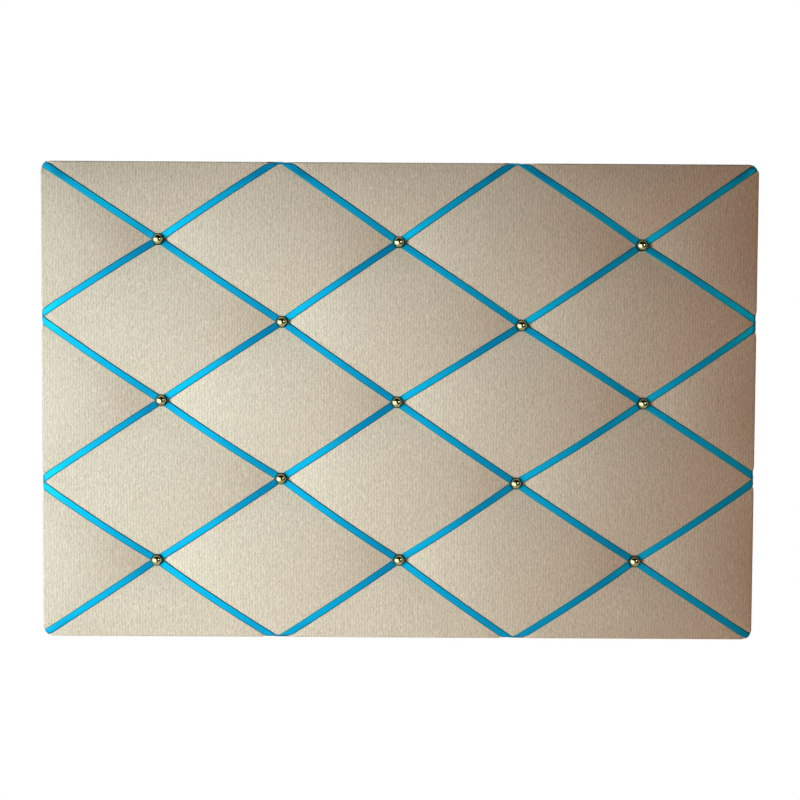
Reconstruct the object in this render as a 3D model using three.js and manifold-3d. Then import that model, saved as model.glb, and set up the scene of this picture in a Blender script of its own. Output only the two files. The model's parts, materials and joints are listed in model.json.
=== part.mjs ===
// A padded ribbon memo board: a fibreboard core under wadding and a stretched cotton cover,
// crossed by satin ribbons that are nailed down with domed studs where they cross.
// Photographs and notes are tucked under the ribbons. It hangs by two hinged D rings.
// Millimetres. X runs to the right, Z up, and the padded front faces -Y.
// The origin is the middle of the backing panel's outer face, which lies towards the wall.
import * as THREE from "three";
import { mergeVertices } from "three/addons/utils/BufferGeometryUtils.js";
import Module from "manifold-3d";

const wasm = await Module();
wasm.setup();

// Board, measured over the cover
const boardWidth = 600;
const boardHeight = 400;
const edgeRadius = 6;
const coreThickness = 9;
const fabricThickness = 0.7;
const flapWidth = 20;
const seatGap = 0.2;

// Height of the cover's face above the core
const edgeFoot = 1;
const studSeat = 3;
const ribbonLoft = 9.5;
const crownHeight = 14;

// Ribbons, which run corner to corner through a grid of equal cells
const columns = 3;
const rows = 3;
const ribbonWidth = 6;
const ribbonThickness = 0.4;
const tailPastHem = 14;
const raiseRamp = 5;

// Studs, knocked in by hand a little off the grid: right and up, by rows from the top left
const studHead = 10;
const studDome = 3.6;
const studWall = 0.7;
const shankDiameter = 1.8;
const shankPoint = 3;
const shankClearance = 0.3;
const nailTipCover = 1.5;
const studDrift = [
  [-2.5, 2],
  [-0.5, 0.5],
  [3.5, -1],
  [1.5, 0],
  [3, -2],
  [0, 0],
  [-1.5, -0.5],
  [6, -0.5],
  [1, 1],
  [-0.5, -2],
  [-4, -2],
  [1, -1],
  [0.5, -1],
];

// Where pairs of ribbons meet at the edge, also a little off the grid: to the right along the top and
// bottom, counted from the left, and up along the sides, counted from the top
const edgeDrift = {
  top: [0, -2],
  right: [0.5, 3],
  bottom: [-1, -2],
  left: [3.5, -2.5],
};

// Staples that hold the ribbon ends to the back of the core
const stapleWire = 0.7;
const stapleThickness = 0.5;
const stapleSide = 2.3;
const stapleBite = 5;
const stapleClearance = 0.15;

// Backing panel
const backingThickness = 2.5;
const backingInset = 12;
const backingCorner = 4;

// Ring hangers
const hangerInset = 90;
const hangerDrop = 70;
const strapWidth = 10;
const strapThickness = 1;
const strapCurl = 250;
const strapReach = 20;
const ringWire = 2.2;
const ringWidth = 20;
const ringReach = 13;
const ringBend = 3;
const ringClearance = 0.3;
const screwDiameter = 3;
const screwHead = 7;
const screwHeadHeight = 2.2;
const screwBite = 6;
const screwPoint = 3;
const screwClearance = 0.25;
const slotWidth = 1;
const slotDepth = 1;

// Shares of a ribbon cell and facet counts
const crownLine = 0.3;
const fadeShare = 0.65;
const rollSteps = 3;
const cornerSteps = 3;
const studSides = 12;
const holeSides = 6;
const screwSides = 16;
const wireSides = 8;
const ringSteps = 36;
const curlSteps = 14;
const arcSteps = 4;
const weld = 1e-4;

// Depths, counted forward from the wall side of the backing panel
const stapleDepth = backingThickness + seatGap;
const tailDepth = stapleDepth + stapleThickness + seatGap;
const flapDepth = tailDepth + ribbonThickness + seatGap;
const coreBack = flapDepth + fabricThickness + seatGap;
const coreFront = coreBack + coreThickness;
const edgeHeight = edgeRadius + edgeFoot;
const edgeDepth = coreFront + edgeHeight;
const waddingLift = -fabricThickness - seatGap;

// The flat field of the front, inside the rolled edge
const halfX = boardWidth / 2 - edgeRadius;
const halfZ = boardHeight / 2 - edgeRadius;
const rollFacet = 2 * edgeRadius * Math.sin(Math.PI / 4 / rollSteps);
const rollLength = rollSteps * rollFacet;
const meetRun = (rollLength * 2) / 3;
const sideLength = coreFront + edgeFoot - flapDepth;
const backEdge = rollLength + sideLength;

// The ribbon grid
const cellX = boardWidth / columns;
const cellZ = boardHeight / rows;
const ribbonSlope = Math.atan2(cellZ, cellX);
const ribbonPitch = cellX * Math.sin(ribbonSlope);
const stripShare = ribbonWidth / 2 / ribbonPitch;
const edgeFade = (fadeShare * Math.min(cellX, cellZ)) / 2;
const raise = ribbonThickness + seatGap;
const halfSpanX = ribbonWidth / 2 / Math.sin(ribbonSlope);
const halfSpanZ = ribbonWidth / 2 / Math.cos(ribbonSlope);

const material = (color, roughness, metalness = 0) =>
  new THREE.MeshStandardMaterial({ color, roughness, metalness });
const board = new THREE.Group();

function add(name, geometry, finish) {
  const mesh = new THREE.Mesh(geometry, finish);
  mesh.name = name;
  board.add(mesh);
  return mesh;
}

// A closed geometry as a solid that can be joined and cut
function solid(geometry) {
  const bare = geometry.clone();
  bare.deleteAttribute("normal");
  bare.deleteAttribute("uv");
  const merged = mergeVertices(bare, weld);
  const vertProperties = merged.attributes.position.array;
  const triVerts = new Uint32Array(merged.index.array);
  return new wasm.Manifold(new wasm.Mesh({ numProp: 3, vertProperties, triVerts }));
}

function geometryOf(body) {
  const mesh = body.getMesh();
  const geometry = new THREE.BufferGeometry();
  geometry.setAttribute("position", new THREE.BufferAttribute(mesh.vertProperties, 3));
  geometry.setIndex(new THREE.BufferAttribute(mesh.triVerts, 1));
  geometry.computeVertexNormals();
  return geometry;
}

const joined = (geometries) => geometries.map(solid).reduce((all, one) => all.add(one));

function cut(geometry, ...tools) {
  return geometryOf(tools.reduce((body, tool) => body.subtract(tool), solid(geometry)));
}

// An outline drawn in X and Z, made solid between two depths
function plate(outline, back, front) {
  const options = { depth: front - back, bevelEnabled: false, curveSegments: arcSteps };
  return new THREE.ExtrudeGeometry(outline, options)
    .translate(0, 0, back)
    .rotateX(Math.PI / 2);
}

function roundedRectangle(halfWidth, halfHeight, radius) {
  const quarter = Math.PI / 2;
  return new THREE.Shape()
    .absarc(halfWidth - radius, halfHeight - radius, radius, 0, quarter)
    .absarc(radius - halfWidth, halfHeight - radius, radius, quarter, 2 * quarter)
    .absarc(radius - halfWidth, radius - halfHeight, radius, 2 * quarter, 3 * quarter)
    .absarc(halfWidth - radius, radius - halfHeight, radius, 3 * quarter, 4 * quarter);
}

// A straight round pin along the depth, centred at x and z
function pin(x, z, radius, back, front, sides) {
  return new THREE.CylinderGeometry(radius, radius, front - back, sides)
    .translate(0, -(back + front) / 2, 0)
    .translate(x, 0, z);
}

// A turned piece: its profile gives radius and depth
function turned(profile, sides) {
  return new THREE.LatheGeometry(profile, sides).rotateX(Math.PI);
}

// Where the cover lies after a run over the edge: how far out from the flat field, and how deep
function wrap(run, lift) {
  const radius = edgeRadius + lift;
  const rollPoint = (step) => {
    const turn = ((step / rollSteps) * Math.PI) / 2;
    return [radius * Math.sin(turn), edgeDepth - edgeRadius + radius * Math.cos(turn)];
  };
  const mix = (a, b, share) => a.map((value, i) => value + (b[i] - value) * share);
  if (run < rollLength) {
    const step = Math.floor(run / rollFacet);
    return mix(rollPoint(step), rollPoint(step + 1), run / rollFacet - step);
  }
  const foot = [radius, flapDepth - lift];
  if (run < backEdge) return mix(rollPoint(rollSteps), foot, (run - rollLength) / sideLength);
  return [radius - (run - backEdge), flapDepth - lift];
}

// A spot on the cover, by its place on the cloth laid flat. It gives its place at any lift off the cover.
function spot(x, z, height = edgeHeight, extra = 0) {
  const overX = Math.max(Math.abs(x) - halfX, 0);
  const overZ = Math.max(Math.abs(z) - halfZ, 0);
  const run = Math.hypot(overX, overZ);
  const at = (lift) => {
    if (run === 0) return new THREE.Vector3(x, -coreFront - height - lift - extra, z);
    const [out, depth] = wrap(run, lift + extra);
    return new THREE.Vector3(
      Math.sign(x) * (Math.abs(x) - overX + (out * overX) / run),
      -depth,
      Math.sign(z) * (Math.abs(z) - overZ + (out * overZ) / run),
    );
  };
  return { x, z, at, key: `${Math.round(x / weld)} ${Math.round(z / weld)}` };
}

// Faces over rings of spots. A ring turns left as seen from outside.
function mesher() {
  const places = [];
  const faces = [];
  const numbers = new Map();
  const number = (place, lift) => {
    const key = `${place.key} ${lift}`;
    if (!numbers.has(key)) {
      numbers.set(key, places.length / 3);
      places.push(...place.at(lift).toArray());
    }
    return numbers.get(key);
  };
  const triangle = (...corners) => faces.push(...corners.map(([place, lift]) => number(place, lift)));
  const fan = (ring, lift) => {
    for (let i = 1; i + 1 < ring.length; i++) {
      triangle([ring[0], lift], [ring[i], lift], [ring[i + 1], lift]);
    }
  };
  const geometry = () => {
    const made = new THREE.BufferGeometry();
    made.setAttribute("position", new THREE.Float32BufferAttribute(places, 3));
    made.setIndex(faces);
    made.computeVertexNormals();
    return made;
  };
  return { triangle, fan, geometry };
}

// A closed solid between two lifts of a sheet of patches, with its free rims walled
function sheet(patches, low, high) {
  const { triangle, fan, geometry } = mesher();
  const rims = new Map();
  for (const patch of patches) {
    fan(patch, high);
    const [first, ...rest] = patch;
    fan([first, ...rest.reverse()], low);
    patch.forEach((from, i) => {
      const to = patch[(i + 1) % patch.length];
      if (!rims.delete(`${to.key}>${from.key}`)) rims.set(`${from.key}>${to.key}`, [from, to]);
    });
  }
  for (const [from, to] of rims.values()) {
    triangle([from, low], [to, low], [to, high]);
    triangle([from, low], [to, high], [from, high]);
  }
  return geometry();
}

// Crossings of the ribbon grid. Ribbons fall to the right along p = u + v and rise along q = v - u,
// where u counts cells from the left and v from the bottom. Both are whole numbers at a crossing.
const gridOf = (p, q) => ({ u: (p - q) / 2, v: (p + q) / 2 });
const crossings = [];
for (let v = rows - 0.5; v > 0; v -= 0.5) {
  const start = v % 1 ? 0.5 : 1;
  for (let u = start; u < columns; u++) crossings.push({ u, v, p: u + v, q: v - u });
}
crossings.forEach((crossing, i) => {
  const [right, up] = studDrift[i] ?? [0, 0];
  crossing.x = crossing.u * cellX - boardWidth / 2 + right;
  crossing.z = crossing.v * cellZ - boardHeight / 2 + up;
});

// How far a pair of ribbons meets off the grid, to the right and up
function edgeSlip(u, v) {
  const { top, right, bottom, left } = edgeDrift;
  if (v === rows) return [top[u - 1] ?? 0, 0];
  if (v === 0) return [bottom[u - 1] ?? 0, 0];
  if (u === columns) return [0, right[rows - 1 - v] ?? 0];
  if (u === 0) return [0, left[rows - 1 - v] ?? 0];
  return [0, 0];
}

// Where a crossing lies on the cloth laid flat. Ribbons meet in pairs on the rolled edge, so that the
// cloth between them comes to a point at the outline, and those to a corner pass through its middle.
function crossingAt(p, q) {
  const nailed = crossings.find((crossing) => crossing.p === p && crossing.q === q);
  if (nailed) return new THREE.Vector2(nailed.x, nailed.z);
  const { u, v } = gridOf(p, q);
  const sideX = Math.sign(u - columns / 2);
  const sideZ = Math.sign(v - rows / 2);
  if ((u === 0 || u === columns) && (v === 0 || v === rows)) {
    const stud = crossingAt(p - (sideX + sideZ) / 2, q - (sideZ - sideX) / 2);
    const corner = new THREE.Vector2(sideX * halfX, sideZ * halfZ);
    const onward = corner.clone().sub(stud);
    return corner.add(onward.setLength(rollLength + ribbonWidth));
  }
  const pushX = u <= 0 || u >= columns ? meetRun - edgeRadius + halfSpanX : 0;
  const pushZ = v <= 0 || v >= rows ? meetRun - edgeRadius + halfSpanZ : 0;
  const [right, up] = edgeSlip(u, v);
  const x = u * cellX - boardWidth / 2 + sideX * pushX + right;
  return new THREE.Vector2(x, v * cellZ - boardHeight / 2 + sideZ * pushZ + up);
}

// A point between four crossings
function gridPoint(p, q) {
  const [low, left] = [Math.floor(p), Math.floor(q)];
  const near = crossingAt(low, left).lerp(crossingAt(low + 1, left), p - low);
  const far = crossingAt(low, left + 1).lerp(crossingAt(low + 1, left + 1), p - low);
  return near.lerp(far, q - left);
}

// Cloth lines of one direction: both edges of every ribbon, and the shoulders of the puffs between
function clothLines(first, last) {
  const lines = [];
  for (let k = first; k <= last; k++) {
    lines.push({ at: k - stripShare, ribbon: k, rim: true }, { at: k + stripShare, rim: true });
    lines.push({ at: k + crownLine }, { at: k + 1 - crownLine });
  }
  return lines;
}

function clothHeight(x, z, acrossP, acrossQ) {
  const height = [crownHeight, ribbonLoft, studSeat][Number(acrossP) + Number(acrossQ)];
  const inset = Math.min(halfX - Math.abs(x), halfZ - Math.abs(z));
  return edgeHeight + (height - edgeHeight) * THREE.MathUtils.smoothstep(inset, 0, edgeFade);
}

// What is left of a patch inside the flat field
function clip(patch) {
  const limits = [
    ["x", 1, halfX],
    ["z", 1, halfZ],
    ["x", -1, halfX],
    ["z", -1, halfZ],
  ];
  for (const [axis, sign, limit] of limits) {
    const other = axis === "x" ? "z" : "x";
    const kept = [];
    patch.forEach((from, i) => {
      const to = patch[(i + 1) % patch.length];
      const fromIn = sign * from[axis] <= limit;
      const toIn = sign * to[axis] <= limit;
      if (fromIn) kept.push(from);
      if (fromIn === toIn) return;
      const share = (sign * limit - from[axis]) / (to[axis] - from[axis]);
      const across = from[other] + (to[other] - from[other]) * share;
      kept.push({ [axis]: sign * limit, [other]: across, height: edgeHeight, nailed: false });
    });
    patch = kept;
  }
  return patch;
}

// The front as flat-cloth patches, each knowing which ribbon lies on it
const pLines = clothLines(-1, columns + rows);
const qLines = clothLines(-columns - 1, rows);
const fieldPatches = [];
for (let i = 0; i + 1 < pLines.length; i++) {
  for (let j = 0; j + 1 < qLines.length; j++) {
    const ring = [
      [pLines[i], qLines[j + 1]],
      [pLines[i], qLines[j]],
      [pLines[i + 1], qLines[j]],
      [pLines[i + 1], qLines[j + 1]],
    ].map(([pLine, qLine]) => {
      const { x, y: z } = gridPoint(pLine.at, qLine.at);
      const [onP, onQ] = [Boolean(pLine.rim), Boolean(qLine.rim)];
      return { x, z, height: clothHeight(x, z, onP, onQ), nailed: onP && onQ };
    });
    const points = clip(ring);
    if (points.length < 3) continue;
    fieldPatches.push({ points, pRibbon: pLines[i].ribbon, qRibbon: qLines[j].ribbon });
  }
}
const coverField = fieldPatches.map(({ points }) => points.map(({ x, z, height }) => spot(x, z, height)));

// The four sides in turn, clockwise from the top as seen from the front. Along each side the cloth
// runs on outwards to the left of the way that the side is walked.
const sides = [
  { axis: "z", sign: 1, along: "x", walk: 1, half: halfZ, far: halfX },
  { axis: "x", sign: 1, along: "z", walk: -1, half: halfX, far: halfZ },
  { axis: "z", sign: -1, along: "x", walk: -1, half: halfZ, far: halfX },
  { axis: "x", sign: -1, along: "z", walk: 1, half: halfX, far: halfZ },
];

const onSide = (side) => (point) => point[side.axis] === side.sign * side.half;

function sideSpot(side, along, run, extra = 0) {
  const out = side.sign * (side.half + run);
  const [x, z] = side.axis === "z" ? [along, out] : [out, along];
  return spot(x, z, edgeHeight, extra);
}

// The field's rim points on one side, in walking order, each once
function rimPoints(points, side) {
  const found = new Map();
  points.filter(onSide(side)).forEach((point) => {
    found.set(Math.round(point[side.along] / weld), point);
  });
  return [...found.values()].sort((a, b) => side.walk * (a[side.along] - b[side.along]));
}

// A band of cloth from an inner row of spots to an outer one, both in walking order
const band = (inner, outer) => [outer[0], ...inner, ...outer.slice(1)];

function bands(start, outerRows) {
  return outerRows.map((row, i) => band(i ? outerRows[i - 1] : start, row));
}

// The rounded corner after a side, by its turn towards the next side
function cornerSpot(side, next, run, step) {
  const turn = ((step / cornerSteps) * Math.PI) / 2;
  const place = { [side.axis]: side.sign * (side.half + run * Math.cos(turn)) };
  place[next.axis] = next.sign * (next.half + run * Math.sin(turn));
  return spot(place.x, place.z);
}

// The rolled edges and upright sides, at runs from the field's rim. Rows past the last run, which
// close the piece at its foot, come from the spots of that run.
function edgePatches(runs, lastRow) {
  const patches = [];
  const fieldSpots = coverField.flat();
  sides.forEach((side, index) => {
    const next = sides[(index + 1) % sides.length];
    const ends = [-side.walk * side.far, side.walk * side.far];
    const sideRows = runs.map((run) => ends.map((end) => sideSpot(side, end, run)));
    const before = (index + sides.length - 1) % sides.length;
    sideRows.push(lastRow(sideRows.at(-1), [before, index]));
    patches.push(...bands(rimPoints(fieldSpots, side), sideRows));
    for (let step = 0; step < cornerSteps; step++) {
      const turns = [step, step + 1];
      const rows = runs.map((run) => turns.map((turn) => cornerSpot(side, next, run, turn)));
      rows.push(lastRow(rows.at(-1), [index]));
      patches.push(...bands([cornerSpot(side, next, 0, 0)], rows));
    }
  });
  return patches;
}

// The flap's inner corner that follows each side
const hemCorners = sides.map((side, index) => {
  const next = sides[(index + 1) % sides.length];
  const place = { [side.axis]: side.sign * (side.half + edgeRadius - flapWidth) };
  place[next.axis] = next.sign * (next.half + edgeRadius - flapWidth);
  return {
    key: `hem ${index}`,
    at: (lift) => new THREE.Vector3(place.x, lift - flapDepth, place.z),
  };
});

const rollRuns = Array.from({ length: rollSteps }, (_, i) => (i + 1) * rollFacet);
const coverEdges = edgePatches([...rollRuns, backEdge], (row, corners) =>
  corners.map((corner) => hemCorners[corner]),
);

// Nail holes through ribbons, cover and wadding into the core
const ribbonStep = Math.hypot(cellX, cellZ) / 2;
const stackTop = studSeat + seatGap + ribbonThickness + raise;
const stackRise = ribbonLoft + seatGap + ribbonThickness - stackTop;
const headPast = Math.max(studHead / 2 - stripShare * ribbonStep, 0);
const rimRise = (stackRise * headPast) / ((crownLine - stripShare) * ribbonStep);
const studDepth = coreFront + stackTop + rimRise + seatGap;
const tipDepth = coreBack + nailTipCover;
const shankRadius = shankDiameter / 2;
const holeRadius = shankRadius + shankClearance;
const holeTop = studDepth + studDome + crownHeight;
const nailHoles = joined(
  crossings.map(({ x, z }) => pin(x, z, holeRadius, tipDepth - shankClearance, holeTop, holeSides)),
);

const cotton = material("#cdc2ae", 0.95);
add("fabric_cover", cut(sheet([...coverField, ...coverEdges], -fabricThickness, 0), nailHoles), cotton);

// Wadding: the cover's form one cloth lower, cut flat where it lies on the core
function wadding() {
  const { fan, geometry } = mesher();
  const foot = (place) => ({
    key: `foot ${place.key}`,
    at: (lift) => place.at(lift).setY(-coreFront - seatGap),
  });
  const edges = edgePatches(rollRuns, (row) => row.map(foot));
  [...coverField, ...edges].forEach((patch) => fan(patch, waddingLift));
  const rim = sides.flatMap((side, index) => {
    const next = sides[(index + 1) % sides.length];
    const steps = Array.from({ length: cornerSteps + 1 }, (_, step) => step);
    return steps.map((step) => foot(cornerSpot(side, next, rollLength, step)));
  });
  fan(rim, waddingLift);
  return geometry();
}
add("wadding", cut(wadding(), nailHoles), material("#f1eee6", 1));

// One end of a ribbon: where its cloth lies after a run past the field's rim, at a share across its width
function ribbonEnd(points, end, inner) {
  const { u, v } = gridOf(end.p, end.q);
  const onward = crossingAt(end.p, end.q).sub(crossingAt(inner.p, inner.q));
  const meets = sides.filter(({ axis }) => (axis === "x" ? u === 0 || u === columns : v === 0 || v === rows));
  const reached = meets.filter(({ axis, sign }) => sign === Math.sign(axis === "x" ? onward.x : onward.y));
  return reached.length > 1 ? cornerEnd(points, reached, onward) : sideEnd(points, reached[0], onward);
}

function sideEnd(points, side, onward) {
  const rim = rimPoints(points, side);
  const [first, last] = [rim[0][side.along], rim.at(-1)[side.along]];
  const [along, out] = side.axis === "z" ? [onward.x, onward.y] : [onward.y, onward.x];
  const halfSpan = side.axis === "z" ? halfSpanZ : halfSpanX;
  const drift = along / Math.abs(out);
  const place = (run, share, extra) => {
    const across = (first + last + share * (last - first)) / 2;
    return sideSpot(side, across + drift * run, run, extra);
  };
  const stapleRun = backEdge + flapWidth + tailPastHem / 2;
  const overlap = [meetRun, meetRun + 2 * halfSpan];
  return { rim, gussets: [], place, overlap, stapleRun, tailRun: stapleRun + tailPastHem / 2 };
}

// At a corner the ribbon lies flat across the rounded corner's ridge
function cornerEnd(points, pair, onward) {
  const turn = (side) => sides[(sides.indexOf(side) + 1) % sides.length];
  const [side, next] = turn(pair[0]) === pair[1] ? pair : [pair[1], pair[0]];
  const [sideRim, nextRim] = [rimPoints(points, side), rimPoints(points, next)];
  const gussets = [
    { rim: sideRim, share: -1 },
    { rim: nextRim, share: 1 },
  ];
  const way = onward.clone().normalize();
  const corner = { [side.axis]: side.sign * side.half, [next.axis]: next.sign * next.half };
  const place = (run, share) => ({
    key: `corner ${corner.x} ${corner.z} ${run} ${share}`,
    at: (lift) => {
      const [out, depth] = wrap(run, lift);
      const across = (-share * ribbonWidth) / 2;
      const x = corner.x + way.x * out - way.y * across;
      return new THREE.Vector3(x, -depth, corner.z + way.y * out + way.x * across);
    },
  });
  const steepness = Math.min(Math.abs(way.x), Math.abs(way.y));
  const hemRun = backEdge + edgeRadius + (flapWidth - edgeRadius) / steepness;
  const past = tailPastHem / steepness;
  const stapleRun = hemRun + past / 2;
  return { rim: nextRim.slice(0, 1), gussets, place, overlap: null, stapleRun, tailRun: hemRun + past };
}

// A ribbon's rise over the ribbon that it crosses on the board's side
function sideRaise(run, overlap) {
  const { clamp } = THREE.MathUtils;
  const up = clamp((run - overlap[0] + rollFacet) / rollFacet, 0, 1);
  const down = clamp((overlap[1] + raiseRamp - run) / raiseRamp, 0, 1);
  return raise * Math.min(up, down);
}

const staples = [];
const satin = material("#159fd0", 0.35);

// A ribbon of the field: the falling ones lie over the rising ones
function ribbon(name, field, crossed, falling) {
  const points = field.flatMap((patch) => patch.points);
  const ownSpot = ({ x, z, height, nailed }) => spot(x, z, height, falling && nailed ? raise : 0);
  const patches = field.map((patch) => patch.points.map(ownSpot));
  const ends = [
    ribbonEnd(points, crossed[0], crossed[1]),
    ribbonEnd(points, crossed.at(-1), crossed.at(-2)),
  ];
  for (const { rim, gussets, place, overlap, stapleRun, tailRun } of ends) {
    gussets.forEach((gusset) => {
      patches.push(band(gusset.rim.map(ownSpot), [place(rollFacet, gusset.share)]));
    });
    const crosses = falling && overlap;
    const humps = crosses ? [overlap[1], overlap[1] + raiseRamp] : [];
    const runs = [...rollRuns, ...humps, backEdge, tailRun].sort((a, b) => a - b);
    const rowsOut = runs.map((run) => {
      const extra = crosses ? sideRaise(run, overlap) : 0;
      return [place(run, -1, extra), place(run, 1, extra)];
    });
    patches.push(...bands(rim.map(ownSpot), rowsOut));
    const [middle, ahead] = [stapleRun, tailRun].map((run) => place(run, 0, 0).at(0));
    staples.push({ middle, turn: Math.atan2(ahead.z - middle.z, ahead.x - middle.x) });
  }
  const cloth = sheet(patches, seatGap, seatGap + ribbonThickness);
  add(name, cut(cloth, nailHoles), satin.clone());
}

// The crossings along a ribbon, from one edge of the board to the other
function along(make, first, last) {
  return Array.from({ length: last - first + 1 }, (_, i) => make(first + i));
}
for (let p = 1; p < columns + rows; p++) {
  const [first, last] = [Math.max(-p, p - 2 * columns), Math.min(p, 2 * rows - p)];
  const field = fieldPatches.filter((patch) => patch.pRibbon === p);
  ribbon(`ribbon_falling_${p}`, field, along((q) => ({ p, q }), first, last), true);
}
for (let q = 1 - columns; q < rows; q++) {
  const [first, last] = [Math.abs(q), Math.min(2 * columns + q, 2 * rows - q)];
  const field = fieldPatches.filter((patch) => patch.qRibbon === q);
  ribbon(`ribbon_rising_${q + columns}`, field, along((p) => ({ p, q }), first, last), false);
}

// Domed studs: a hollow pressed head on a pointed shank
function studProfile() {
  const headRadius = studHead / 2;
  const arc = (radius, height, turn) =>
    new THREE.Vector2(radius * Math.sin(turn), studDepth + height * Math.cos(turn));
  const dome = Array.from({ length: arcSteps + 1 }, (_, i) =>
    arc(headRadius, studDome, ((1 - i / arcSteps) * Math.PI) / 2),
  );
  return [
    new THREE.Vector2(0, tipDepth),
    new THREE.Vector2(shankRadius, tipDepth + shankPoint),
    new THREE.Vector2(shankRadius, studDepth + studDome - studWall),
    arc(headRadius - studWall, studDome - studWall, Math.PI / 4),
    arc(headRadius - studWall, studDome - studWall, Math.PI / 2),
    ...dome,
  ];
}
const brass = material("#b8923f", 0.2, 1);
crossings.forEach(({ x, z }, i) => {
  const stud = add(`stud_${String(i + 1).padStart(2, "0")}`, turned(studProfile(), studSides), brass.clone());
  stud.position.set(x, 0, z);
});

// Staples: a crown across the ribbon's tail, with a leg on either side into the core
const stapleHalf = ribbonWidth / 2 + stapleSide;
const stapleTip = coreBack + stapleBite;
function stapleOutline() {
  const legInside = stapleHalf - stapleThickness;
  const crownTop = stapleDepth + stapleThickness;
  const points = [
    [-stapleHalf, stapleDepth],
    [stapleHalf, stapleDepth],
    [stapleHalf, stapleTip],
    [legInside, stapleTip],
    [legInside, crownTop],
    [-legInside, crownTop],
    [-legInside, stapleTip],
    [-stapleHalf, stapleTip],
  ];
  return new THREE.Shape(points.map(([x, depth]) => new THREE.Vector2(x, -depth)).reverse());
}
const steel = material("#b9bcc0", 0.35, 1);
staples.forEach(({ middle, turn }, i) => {
  const options = { depth: stapleWire, bevelEnabled: false };
  const wire = new THREE.ExtrudeGeometry(stapleOutline(), options).translate(0, 0, -stapleWire / 2);
  const staple = add(`staple_${String(i + 1).padStart(2, "0")}`, wire, steel.clone());
  staple.position.set(middle.x, 0, middle.z);
  staple.rotation.y = Math.PI / 2 - turn;
});
const legHoles = joined(
  staples.flatMap(({ middle, turn }) =>
    [-1, 1].map((side) => {
      const width = stapleThickness + 2 * stapleClearance;
      const length = stapleWire + 2 * stapleClearance;
      return new THREE.BoxGeometry(width, 2 * (stapleBite + stapleClearance), length)
        .translate(side * (stapleHalf - stapleThickness / 2), -coreBack, 0)
        .rotateY(Math.PI / 2 - turn)
        .translate(middle.x, 0, middle.z);
    }),
  ),
);

// Hangers: each has a strap curled round the ring's bar, and one screw into the core
const hangerX = boardWidth / 2 - hangerInset;
const hangerZ = boardHeight / 2 - hangerDrop;
const eyeRadius = ringWire / 2 + ringClearance;
const axisOut = seatGap + strapThickness + eyeRadius;
const screwSeat = seatGap + strapThickness + seatGap;
const screwRadius = screwDiameter / 2;
const screwTip = coreBack + screwBite;
const hangerSides = [
  ["left", -hangerX],
  ["right", hangerX],
];
const screwHole = (x, z) => pin(x, z, screwRadius + screwClearance, -axisOut, screwTip + seatGap, screwSides);
const screwHoles = joined(hangerSides.map(([, x]) => screwHole(x, hangerZ - strapReach)));

function strap() {
  const curl = THREE.MathUtils.degToRad(strapCurl);
  const end = strapReach + strapWidth / 2;
  const bar = new THREE.Shape()
    .moveTo(seatGap, -end)
    .lineTo(seatGap, 0)
    .absarc(axisOut, 0, eyeRadius + strapThickness, Math.PI, Math.PI - curl, true)
    .absarc(axisOut, 0, eyeRadius, Math.PI - curl, Math.PI, false)
    .lineTo(seatGap + strapThickness, -end);
  const options = { depth: strapWidth, bevelEnabled: false, curveSegments: curlSteps };
  const basis = new THREE.Matrix4().makeBasis(
    new THREE.Vector3(0, 1, 0),
    new THREE.Vector3(0, 0, 1),
    new THREE.Vector3(1, 0, 0),
  );
  const strip = new THREE.ExtrudeGeometry(bar, options).translate(0, 0, -strapWidth / 2).applyMatrix4(basis);
  const top = eyeRadius + 2 * strapThickness;
  const outline = new THREE.Shape()
    .moveTo(-strapWidth / 2, top)
    .lineTo(-strapWidth / 2, -strapReach)
    .absarc(0, -strapReach, strapWidth / 2, Math.PI, 2 * Math.PI)
    .lineTo(strapWidth / 2, top);
  const rounded = solid(strip).intersect(solid(plate(outline, -2 * axisOut, seatGap)));
  return geometryOf(rounded.subtract(solid(screwHole(0, -strapReach))));
}

// The ring's wire: a straight bar in the eye, two bends and an arch
class RingLoop extends THREE.Curve {
  constructor() {
    super();
    const half = (ringWidth - ringWire) / 2;
    const shoulder = ringReach - half;
    const bend = Math.min(ringBend, shoulder);
    this.outline = new THREE.Path()
      .moveTo(0, 0)
      .lineTo(half - bend, 0)
      .absarc(half - bend, bend, bend, -Math.PI / 2, 0)
      .lineTo(half, shoulder)
      .absarc(0, shoulder, half, 0, Math.PI)
      .lineTo(-half, bend)
      .absarc(bend - half, bend, bend, Math.PI, 1.5 * Math.PI)
      .lineTo(0, 0);
  }
  getPoint(share) {
    const { x, y } = this.outline.getPoint(share);
    return new THREE.Vector3(x, 0, y);
  }
}

function screw() {
  const headRadius = screwHead / 2;
  const head = Array.from({ length: arcSteps }, (_, i) => {
    const turn = ((i / arcSteps) * Math.PI) / 2;
    const height = screwHeadHeight * Math.cos(turn);
    return new THREE.Vector2(headRadius * Math.sin(turn), -screwSeat - height);
  });
  const profile = [
    ...head,
    new THREE.Vector2(headRadius, -screwSeat),
    new THREE.Vector2(screwRadius, -screwSeat),
    new THREE.Vector2(screwRadius, screwTip - screwPoint),
    new THREE.Vector2(0, screwTip),
  ];
  const slot = new THREE.BoxGeometry(slotWidth, 2 * slotDepth, 2 * screwHead);
  return cut(turned(profile, screwSides), solid(slot.translate(0, screwSeat + screwHeadHeight, 0)));
}

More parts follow.
